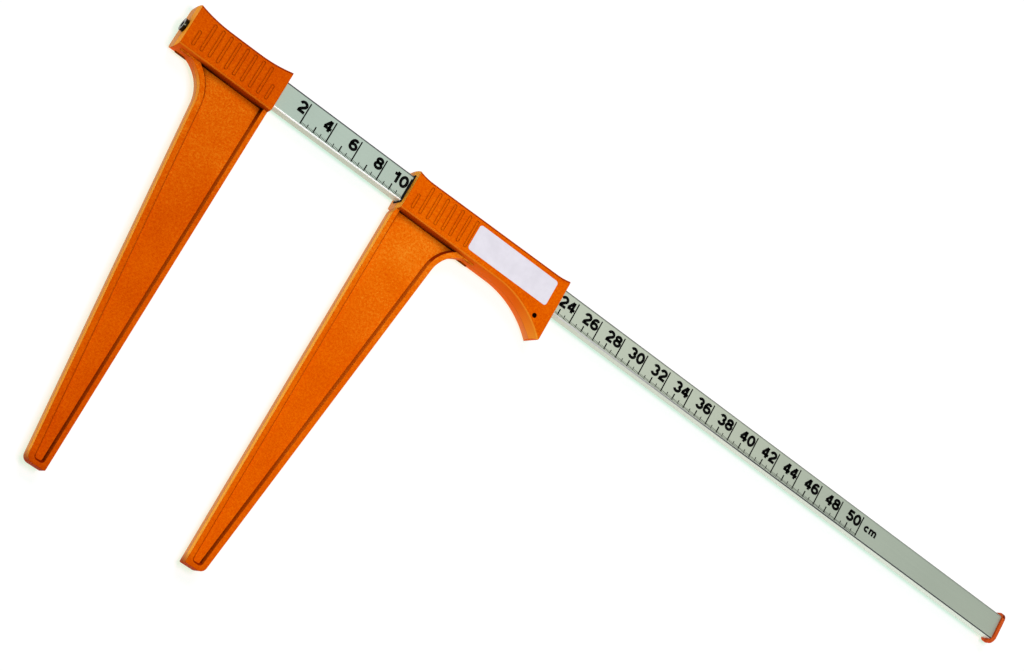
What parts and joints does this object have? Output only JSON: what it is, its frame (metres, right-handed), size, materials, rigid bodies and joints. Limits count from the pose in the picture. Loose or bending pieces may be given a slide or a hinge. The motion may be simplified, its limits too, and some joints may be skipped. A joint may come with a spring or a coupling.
{
  "type": "sliding-jaw caliper",
  "caption": "Large caliper: flat alloy beam with a centimetre scale, a fixed jaw at one end, a sliding jaw on a long sleeve with a finger hook, and an end stop.",
  "frame": {"origin": "middle of the underside of the bounding box, in the plane of the housings' back faces", "axes": "+X along the beam from the fixed jaw to the end stop, +Y across the beam away from the blades, +Z out of the scale face"},
  "size_m": [0.7126, 0.2848, 0.0212],
  "materials": {
    "beam_alloy": "satin anodised, grey-green",
    "jaw_plastic": "fine-grained glass-filled moulding, orange",
    "slide_plastic": "fine-grained glass-filled moulding, orange",
    "stop_plastic": "moulding, red-orange",
    "screw_steel": "zinc-plated, turned head",
    "liner_plastic": "black low-friction liner",
    "spring_steel": "rolled spring strip",
    "label_film": "pale bare film"
  },
  "bodies": {
    "frame": {"beam": "beam_alloy", "fixed_jaw": "jaw_plastic", "jaw_screw": "screw_steel", "end_stop": "stop_plastic", "end_stop_screw": "stop_plastic"},
    "slider": {"sliding_jaw": "slide_plastic", "front_liner": "liner_plastic", "rear_liner": "liner_plastic", "drag_spring": "spring_steel", "label": "label_film"}
  },
  "joints": [
    {"name": "jaw_slide", "type": "slide", "parent": "frame", "child": "slider", "axis": [1, 0, 0], "range_m": [-0.1007, 0.4104]}
  ]
}
